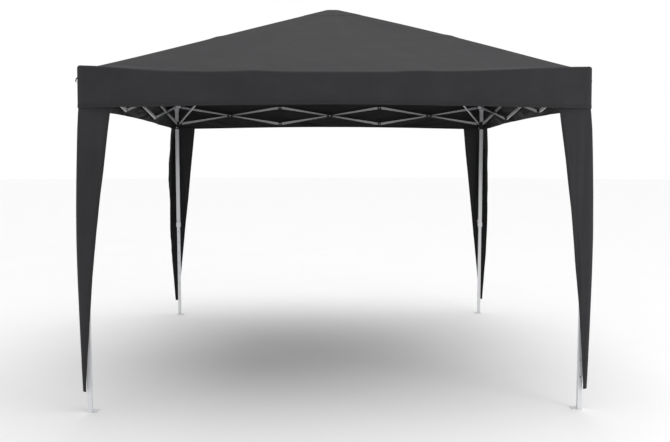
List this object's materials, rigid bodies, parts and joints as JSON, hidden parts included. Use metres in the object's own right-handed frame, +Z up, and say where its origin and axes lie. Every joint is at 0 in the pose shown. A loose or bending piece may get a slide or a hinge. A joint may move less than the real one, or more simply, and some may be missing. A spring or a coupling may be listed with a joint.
{
  "type": "folding gazebo tent",
  "caption": "Fold-up party tent: square pyramid roof with valance, scissor-truss steel frame, telescopic legs with cloth covers.",
  "frame": {"origin": "on the ground, under the peak of the roof", "axes": "+Z up, -Y towards the front"},
  "size_m": [2.944, 2.944, 2.606],
  "materials": {
    "canopy_cloth": "coated polyester canvas, charcoal grey, matt",
    "black_plastic": "moulded black nylon",
    "grey_steel": "grey powder-coated steel tube",
    "bright_steel": "light grey powder-coated steel tube"
  },
  "bodies": {
    "hub": {"hub": "black_plastic", "peak_cap": "black_plastic", "canopy": "canopy_cloth"},
    "inner_roof_arm_front_left": {"roof_bar_inner_front_left": "grey_steel"},
    "outer_roof_arm_front_left": {"roof_bar_outer_front_left": "grey_steel"},
    "leg_front_left": {"outer_leg_front_left": "grey_steel"},
    "strut_front_left": {"strut_front_left": "grey_steel"},
    "inner_leg_front_left": {"inner_leg_front_left": "bright_steel"},
    "height_lock_front_left": {"height_lock_front_left": "black_plastic"},
    "truss_front_a1": {"truss_bar_front_a1": "grey_steel"},
    "truss_front_b1": {"truss_bar_front_b1": "grey_steel"},
    "truss_front_a2": {"truss_bar_front_a2": "grey_steel"},
    "truss_left_b3": {"truss_bar_left_b3": "grey_steel"},
    "truss_left_a3": {"truss_bar_left_a3": "grey_steel"},
    "truss_left_b2": {"truss_bar_left_b2": "grey_steel"},
    "slider_front_left": {"slider_front_left": "black_plastic"},
    "slider_lock_front_left": {"slider_lock_front_left": "black_plastic"},
    "inner_roof_arm_front_right": {"roof_bar_inner_front_right": "grey_steel"},
    "outer_roof_arm_front_right": {"roof_bar_outer_front_right": "grey_steel"},
    "leg_front_right": {"outer_leg_front_right": "grey_steel"},
    "strut_front_right": {"strut_front_right": "grey_steel"},
    "inner_leg_front_right": {"inner_leg_front_right": "bright_steel"},
    "height_lock_front_right": {"height_lock_front_right": "black_plastic"},
    "truss_right_a1": {"truss_bar_right_a1": "grey_steel"},
    "truss_right_b1": {"truss_bar_right_b1": "grey_steel"},
    "truss_right_a2": {"truss_bar_right_a2": "grey_steel"},
    "truss_front_b3": {"truss_bar_front_b3": "grey_steel"},
    "truss_front_a3": {"truss_bar_front_a3": "grey_steel"},
    "truss_front_b2": {"truss_bar_front_b2": "grey_steel"},
    "slider_front_right": {"slider_front_right": "black_plastic"},
    "slider_lock_front_right": {"slider_lock_front_right": "black_plastic"},
    "inner_roof_arm_back_right": {"roof_bar_inner_back_right": "grey_steel"},
    "outer_roof_arm_back_right": {"roof_bar_outer_back_right": "grey_steel"},
    "leg_back_right": {"outer_leg_back_right": "grey_steel"},
    "strut_back_right": {"strut_back_right": "grey_steel"},
    "inner_leg_back_right": {"inner_leg_back_right": "bright_steel"},
    "height_lock_back_right": {"height_lock_back_right": "black_plastic"},
    "truss_back_a1": {"truss_bar_back_a1": "grey_steel"},
    "truss_back_b1": {"truss_bar_back_b1": "grey_steel"},
    "truss_back_a2": {"truss_bar_back_a2": "grey_steel"},
    "truss_right_b3": {"truss_bar_right_b3": "grey_steel"},
    "truss_right_a3": {"truss_bar_right_a3": "grey_steel"},
    "truss_right_b2": {"truss_bar_right_b2": "grey_steel"},
    "slider_back_right": {"slider_back_right": "black_plastic"},
    "slider_lock_back_right": {"slider_lock_back_right": "black_plastic"},
    "inner_roof_arm_back_left": {"roof_bar_inner_back_left": "grey_steel"},
    "outer_roof_arm_back_left": {"roof_bar_outer_back_left": "grey_steel"},
    "leg_back_left": {"outer_leg_back_left": "grey_steel"},
    "strut_back_left": {"strut_back_left": "grey_steel"},
    "inner_leg_back_left": {"inner_leg_back_left": "bright_steel"},
    "height_lock_back_left": {"height_lock_back_left": "black_plastic"},
    "truss_left_a1": {"truss_bar_left_a1": "grey_steel"},
    "truss_left_b1": {"truss_bar_left_b1": "grey_steel"},
    "truss_left_a2": {"truss_bar_left_a2": "grey_steel"},
    "truss_back_b3": {"truss_bar_back_b3": "grey_steel"},
    "truss_back_a3": {"truss_bar_back_a3": "grey_steel"},
    "truss_back_b2": {"truss_bar_back_b2": "grey_steel"},
    "slider_back_left": {"slider_back_left": "black_plastic"},
    "slider_lock_back_left": {"slider_lock_back_left": "black_plastic"}
  },
  "joints": [
    {"name": "roof_arm_front_left", "type": "hinge", "parent": "hub", "child": "inner_roof_arm_front_left", "pos_m": [-0.02687, -0.02687, 2.567], "axis": [0.7071, -0.7071, 0], "range_deg": [0, 73.85], "deforming": ["canopy"]},
    {"name": "knee_front_left", "type": "hinge", "parent": "inner_roof_arm_front_left", "child": "outer_roof_arm_front_left", "pos_m": [-0.77577, -0.77577, 2.26971], "axis": [0.7071, -0.7071, 0], "range_deg": [-177.87, 0]},
    {"name": "leg_head_front_left", "type": "hinge", "parent": "outer_roof_arm_front_left", "child": "leg_front_left", "pos_m": [-1.41889, -1.41889, 1.997], "axis": [0.7071, -0.7071, 0], "range_deg": [0, 104.02]},
    {"name": "strut_head_front_left", "type": "hinge", "parent": "outer_roof_arm_front_left", "child": "strut_front_left", "pos_m": [-1.1094, -1.1094, 2.10499], "axis": [0.7071, -0.7071, 0], "range_deg": [0, 161.44]},
    {"name": "leg_height_front_left", "type": "slide", "parent": "leg_front_left", "child": "inner_leg_front_left", "axis": [0, 0, 1], "range_m": [0, 0.77]},
    {"name": "height_lock_pull_front_left", "type": "slide", "parent": "leg_front_left", "child": "height_lock_front_left", "axis": [1, 0, 0], "range_m": [0, 0.006], "stiffness_N_per_m": 600, "springref_m": -0.003},
    {"name": "truss_front_a1_leg", "type": "hinge", "parent": "leg_front_left", "child": "truss_front_a1", "pos_m": [-1.417, -1.4565, 1.98], "axis": [0, -1, 0], "range_deg": [-78.24, 0]},
    {"name": "truss_front_b1_cross", "type": "hinge", "parent": "truss_front_a1", "child": "truss_front_b1", "pos_m": [-0.94467, -1.45, 1.903], "axis": [0, -1, 0], "range_deg": [0, 156.48]},
    {"name": "truss_front_a2_top", "type": "hinge", "parent": "truss_front_b1", "child": "truss_front_a2", "pos_m": [-0.47233, -1.45, 1.98], "axis": [0, -1, 0], "range_deg": [-156.48, 0]},
    {"name": "truss_left_b3_leg", "type": "hinge", "parent": "leg_front_left", "child": "truss_left_b3", "pos_m": [-1.4435, -1.417, 1.98], "axis": [-1, 0, 0], "range_deg": [0, 78.24]},
    {"name": "truss_left_a3_cross", "type": "hinge", "parent": "truss_left_b3", "child": "truss_left_a3", "pos_m": [-1.45, -0.94467, 1.903], "axis": [-1, 0, 0], "range_deg": [-156.48, 0]},
    {"name": "truss_left_b2_top", "type": "hinge", "parent": "truss_left_a3", "child": "truss_left_b2", "pos_m": [-1.45, -0.47233, 1.98], "axis": [-1, 0, 0], "range_deg": [0, 156.48]},
    {"name": "slider_pivot_front_left", "type": "hinge", "parent": "truss_front_b1", "child": "slider_front_left", "pos_m": [-1.417, -1.4435, 1.826], "axis": [0, -1, 0], "range_deg": [-78.24, 0]},
    {"name": "slider_lock_pull_front_left", "type": "slide", "parent": "slider_front_left", "child": "slider_lock_front_left", "axis": [1, 0, 0], "range_m": [0, 0.006], "stiffness_N_per_m": 600, "springref_m": -0.003},
    {"name": "roof_arm_front_right", "type": "hinge", "parent": "hub", "child": "inner_roof_arm_front_right", "pos_m": [0.02687, -0.02687, 2.567], "axis": [0.7071, 0.7071, 0], "range_deg": [0, 73.85]},
    {"name": "knee_front_right", "type": "hinge", "parent": "inner_roof_arm_front_right", "child": "outer_roof_arm_front_right", "pos_m": [0.77577, -0.77577, 2.26971], "axis": [0.7071, 0.7071, 0], "range_deg": [-177.87, 0]},
    {"name": "leg_head_front_right", "type": "hinge", "parent": "outer_roof_arm_front_right", "child": "leg_front_right", "pos_m": [1.41889, -1.41889, 1.997], "axis": [0.7071, 0.7071, 0], "range_deg": [0, 104.02]},
    {"name": "strut_head_front_right", "type": "hinge", "parent": "outer_roof_arm_front_right", "child": "strut_front_right", "pos_m": [1.1094, -1.1094, 2.10499], "axis": [0.7071, 0.7071, 0], "range_deg": [0, 161.44]},
    {"name": "leg_height_front_right", "type": "slide", "parent": "leg_front_right", "child": "inner_leg_front_right", "axis": [0, 0, 1], "range_m": [0, 0.77]},
    {"name": "height_lock_pull_front_right", "type": "slide", "parent": "leg_front_right", "child": "height_lock_front_right", "axis": [0, 1, 0], "range_m": [0, 0.006], "stiffness_N_per_m": 600, "springref_m": -0.003},
    {"name": "truss_right_a1_leg", "type": "hinge", "parent": "leg_front_right", "child": "truss_right_a1", "pos_m": [1.4565, -1.417, 1.98], "axis": [1, 0, 0], "range_deg": [-78.24, 0]},
    {"name": "truss_right_b1_cross", "type": "hinge", "parent": "truss_right_a1", "child": "truss_right_b1", "pos_m": [1.45, -0.94467, 1.903], "axis": [1, 0, 0], "range_deg": [0, 156.48]},
    {"name": "truss_right_a2_top", "type": "hinge", "parent": "truss_right_b1", "child": "truss_right_a2", "pos_m": [1.45, -0.47233, 1.98], "axis": [1, 0, 0], "range_deg": [-156.48, 0]},
    {"name": "truss_front_b3_leg", "type": "hinge", "parent": "leg_front_right", "child": "truss_front_b3", "pos_m": [1.417, -1.4435, 1.98], "axis": [0, -1, 0], "range_deg": [0, 78.24]},
    {"name": "truss_front_a3_cross", "type": "hinge", "parent": "truss_front_b3", "child": "truss_front_a3", "pos_m": [0.94467, -1.45, 1.903], "axis": [0, -1, 0], "range_deg": [-156.48, 0]},
    {"name": "truss_front_b2_top", "type": "hinge", "parent": "truss_front_a3", "child": "truss_front_b2", "pos_m": [0.47233, -1.45, 1.98], "axis": [0, -1, 0], "range_deg": [0, 156.48]},
    {"name": "slider_pivot_front_right", "type": "hinge", "parent": "truss_right_b1", "child": "slider_front_right", "pos_m": [1.4435, -1.417, 1.826], "axis": [1, 0, 0], "range_deg": [-78.24, 0]},
    {"name": "slider_lock_pull_front_right", "type": "slide", "parent": "slider_front_right", "child": "slider_lock_front_right", "axis": [0, 1, 0], "range_m": [0, 0.006], "stiffness_N_per_m": 600, "springref_m": -0.003},
    {"name": "roof_arm_back_right", "type": "hinge", "parent": "hub", "child": "inner_roof_arm_back_right", "pos_m": [0.02687, 0.02687, 2.567], "axis": [-0.7071, 0.7071, 0], "range_deg": [0, 73.85]},
    {"name": "knee_back_right", "type": "hinge", "parent": "inner_roof_arm_back_right", "child": "outer_roof_arm_back_right", "pos_m": [0.77577, 0.77577, 2.26971], "axis": [-0.7071, 0.7071, 0], "range_deg": [-177.87, 0]},
    {"name": "leg_head_back_right", "type": "hinge", "parent": "outer_roof_arm_back_right", "child": "leg_back_right", "pos_m": [1.41889, 1.41889, 1.997], "axis": [-0.7071, 0.7071, 0], "range_deg": [0, 104.02]},
    {"name": "strut_head_back_right", "type": "hinge", "parent": "outer_roof_arm_back_right", "child": "strut_back_right", "pos_m": [1.1094, 1.1094, 2.10499], "axis": [-0.7071, 0.7071, 0], "range_deg": [0, 161.44]},
    {"name": "leg_height_back_right", "type": "slide", "parent": "leg_back_right", "child": "inner_leg_back_right", "axis": [0, 0, 1], "range_m": [0, 0.77]},
    {"name": "height_lock_pull_back_right", "type": "slide", "parent": "leg_back_right", "child": "height_lock_back_right", "axis": [-1, 0, 0], "range_m": [0, 0.006], "stiffness_N_per_m": 600, "springref_m": -0.003},
    {"name": "truss_back_a1_leg", "type": "hinge", "parent": "leg_back_right", "child": "truss_back_a1", "pos_m": [1.417, 1.4565, 1.98], "axis": [0, 1, 0], "range_deg": [-78.24, 0]},
    {"name": "truss_back_b1_cross", "type": "hinge", "parent": "truss_back_a1", "child": "truss_back_b1", "pos_m": [0.94467, 1.45, 1.903], "axis": [0, 1, 0], "range_deg": [0, 156.48]},
    {"name": "truss_back_a2_top", "type": "hinge", "parent": "truss_back_b1", "child": "truss_back_a2", "pos_m": [0.47233, 1.45, 1.98], "axis": [0, 1, 0], "range_deg": [-156.48, 0]},
    {"name": "truss_right_b3_leg", "type": "hinge", "parent": "leg_back_right", "child": "truss_right_b3", "pos_m": [1.4435, 1.417, 1.98], "axis": [1, 0, 0], "range_deg": [0, 78.24]},
    {"name": "truss_right_a3_cross", "type": "hinge", "parent": "truss_right_b3", "child": "truss_right_a3", "pos_m": [1.45, 0.94467, 1.903], "axis": [1, 0, 0], "range_deg": [-156.48, 0]},
    {"name": "truss_right_b2_top", "type": "hinge", "parent": "truss_right_a3", "child": "truss_right_b2", "pos_m": [1.45, 0.47233, 1.98], "axis": [1, 0, 0], "range_deg": [0, 156.48]},
    {"name": "slider_pivot_back_right", "type": "hinge", "parent": "truss_back_b1", "child": "slider_back_right", "pos_m": [1.417, 1.4435, 1.826], "axis": [0, 1, 0], "range_deg": [-78.24, 0]},
    {"name": "slider_lock_pull_back_right", "type": "slide", "parent": "slider_back_right", "child": "slider_lock_back_right", "axis": [-1, 0, 0], "range_m": [0, 0.006], "stiffness_N_per_m": 600, "springref_m": -0.003},
    {"name": "roof_arm_back_left", "type": "hinge", "parent": "hub", "child": "inner_roof_arm_back_left", "pos_m": [-0.02687, 0.02687, 2.567], "axis": [-0.7071, -0.7071, 0], "range_deg": [0, 73.85]},
    {"name": "knee_back_left", "type": "hinge", "parent": "inner_roof_arm_back_left", "child": "outer_roof_arm_back_left", "pos_m": [-0.77577, 0.77577, 2.26971], "axis": [-0.7071, -0.7071, 0], "range_deg": [-177.87, 0]},
    {"name": "leg_head_back_left", "type": "hinge", "parent": "outer_roof_arm_back_left", "child": "leg_back_left", "pos_m": [-1.41889, 1.41889, 1.997], "axis": [-0.7071, -0.7071, 0], "range_deg": [0, 104.02]},
    {"name": "strut_head_back_left", "type": "hinge", "parent": "outer_roof_arm_back_left", "child": "strut_back_left", "pos_m": [-1.1094, 1.1094, 2.10499], "axis": [-0.7071, -0.7071, 0], "range_deg": [0, 161.44]},
    {"name": "leg_height_back_left", "type": "slide", "parent": "leg_back_left", "child": "inner_leg_back_left", "axis": [0, 0, 1], "range_m": [0, 0.77]},
    {"name": "height_lock_pull_back_left", "type": "slide", "parent": "leg_back_left", "child": "height_lock_back_left", "axis": [0, -1, 0], "range_m": [0, 0.006], "stiffness_N_per_m": 600, "springref_m": -0.003},
    {"name": "truss_left_a1_leg", "type": "hinge", "parent": "leg_back_left", "child": "truss_left_a1", "pos_m": [-1.4565, 1.417, 1.98], "axis": [-1, 0, 0], "range_deg": [-78.24, 0]},
    {"name": "truss_left_b1_cross", "type": "hinge", "parent": "truss_left_a1", "child": "truss_left_b1", "pos_m": [-1.45, 0.94467, 1.903], "axis": [-1, 0, 0], "range_deg": [0, 156.48]},
    {"name": "truss_left_a2_top", "type": "hinge", "parent": "truss_left_b1", "child": "truss_left_a2", "pos_m": [-1.45, 0.47233, 1.98], "axis": [-1, 0, 0], "range_deg": [-156.48, 0]},
    {"name": "truss_back_b3_leg", "type": "hinge", "parent": "leg_back_left", "child": "truss_back_b3", "pos_m": [-1.417, 1.4435, 1.98], "axis": [0, 1, 0], "range_deg": [0, 78.24]},
    {"name": "truss_back_a3_cross", "type": "hinge", "parent": "truss_back_b3", "child": "truss_back_a3", "pos_m": [-0.94467, 1.45, 1.903], "axis": [0, 1, 0], "range_deg": [-156.48, 0]},
    {"name": "truss_back_b2_top", "type": "hinge", "parent": "truss_back_a3", "child": "truss_back_b2", "pos_m": [-0.47233, 1.45, 1.98], "axis": [0, 1, 0], "range_deg": [0, 156.48]},
    {"name": "slider_pivot_back_left", "type": "hinge", "parent": "truss_left_b1", "child": "slider_back_left", "pos_m": [-1.4435, 1.417, 1.826], "axis": [-1, 0, 0], "range_deg": [-78.24, 0]},
    {"name": "slider_lock_pull_back_left", "type": "slide", "parent": "slider_back_left", "child": "slider_lock_back_left", "axis": [0, -1, 0], "range_m": [0, 0.006], "stiffness_N_per_m": 600, "springref_m": -0.003}
  ],
  "couplings": [
    {"joint": "knee_front_left", "follows": "roof_arm_front_left", "ratio": -2.4085},
    {"joint": "leg_head_front_left", "follows": "roof_arm_front_left", "ratio": 1.4085},
    {"joint": "strut_head_front_left", "follows": "roof_arm_front_left", "ratio": 2.186},
    {"joint": "truss_front_a1_leg", "follows": "roof_arm_front_left", "ratio": -1.0594},
    {"joint": "truss_front_b1_cross", "follows": "roof_arm_front_left", "ratio": 2.1189},
    {"joint": "truss_front_a2_top", "follows": "roof_arm_front_left", "ratio": -2.1189},
    {"joint": "truss_left_b3_leg", "follows": "roof_arm_front_left", "ratio": 1.0594},
    {"joint": "truss_left_a3_cross", "follows": "roof_arm_front_left", "ratio": -2.1189},
    {"joint": "truss_left_b2_top", "follows": "roof_arm_front_left", "ratio": 2.1189},
    {"joint": "slider_pivot_front_left", "follows": "roof_arm_front_left", "ratio": -1.0594},
    {"joint": "roof_arm_front_right", "follows": "roof_arm_front_left", "ratio": 1},
    {"joint": "knee_front_right", "follows": "roof_arm_front_left", "ratio": -2.4085},
    {"joint": "leg_head_front_right", "follows": "roof_arm_front_left", "ratio": 1.4085},
    {"joint": "strut_head_front_right", "follows": "roof_arm_front_left", "ratio": 2.186},
    {"joint": "truss_right_a1_leg", "follows": "roof_arm_front_left", "ratio": -1.0594},
    {"joint": "truss_right_b1_cross", "follows": "roof_arm_front_left", "ratio": 2.1189},
    {"joint": "truss_right_a2_top", "follows": "roof_arm_front_left", "ratio": -2.1189},
    {"joint": "truss_front_b3_leg", "follows": "roof_arm_front_left", "ratio": 1.0594},
    {"joint": "truss_front_a3_cross", "follows": "roof_arm_front_left", "ratio": -2.1189},
    {"joint": "truss_front_b2_top", "follows": "roof_arm_front_left", "ratio": 2.1189},
    {"joint": "slider_pivot_front_right", "follows": "roof_arm_front_left", "ratio": -1.0594},
    {"joint": "roof_arm_back_right", "follows": "roof_arm_front_left", "ratio": 1},
    {"joint": "knee_back_right", "follows": "roof_arm_front_left", "ratio": -2.4085},
    {"joint": "leg_head_back_right", "follows": "roof_arm_front_left", "ratio": 1.4085},
    {"joint": "strut_head_back_right", "follows": "roof_arm_front_left", "ratio": 2.186},
    {"joint": "truss_back_a1_leg", "follows": "roof_arm_front_left", "ratio": -1.0594},
    {"joint": "truss_back_b1_cross", "follows": "roof_arm_front_left", "ratio": 2.1189},
    {"joint": "truss_back_a2_top", "follows": "roof_arm_front_left", "ratio": -2.1189},
    {"joint": "truss_right_b3_leg", "follows": "roof_arm_front_left", "ratio": 1.0594},
    {"joint": "truss_right_a3_cross", "follows": "roof_arm_front_left", "ratio": -2.1189},
    {"joint": "truss_right_b2_top", "follows": "roof_arm_front_left", "ratio": 2.1189},
    {"joint": "slider_pivot_back_right", "follows": "roof_arm_front_left", "ratio": -1.0594},
    {"joint": "roof_arm_back_left", "follows": "roof_arm_front_left", "ratio": 1},
    {"joint": "knee_back_left", "follows": "roof_arm_front_left", "ratio": -2.4085},
    {"joint": "leg_head_back_left", "follows": "roof_arm_front_left", "ratio": 1.4085},
    {"joint": "strut_head_back_left", "follows": "roof_arm_front_left", "ratio": 2.186},
    {"joint": "truss_left_a1_leg", "follows": "roof_arm_front_left", "ratio": -1.0594},
    {"joint": "truss_left_b1_cross", "follows": "roof_arm_front_left", "ratio": 2.1189},
    {"joint": "truss_left_a2_top", "follows": "roof_arm_front_left", "ratio": -2.1189},
    {"joint": "truss_back_b3_leg", "follows": "roof_arm_front_left", "ratio": 1.0594},
    {"joint": "truss_back_a3_cross", "follows": "roof_arm_front_left", "ratio": -2.1189},
    {"joint": "truss_back_b2_top", "follows": "roof_arm_front_left", "ratio": 2.1189},
    {"joint": "slider_pivot_back_left", "follows": "roof_arm_front_left", "ratio": -1.0594}
  ]
}
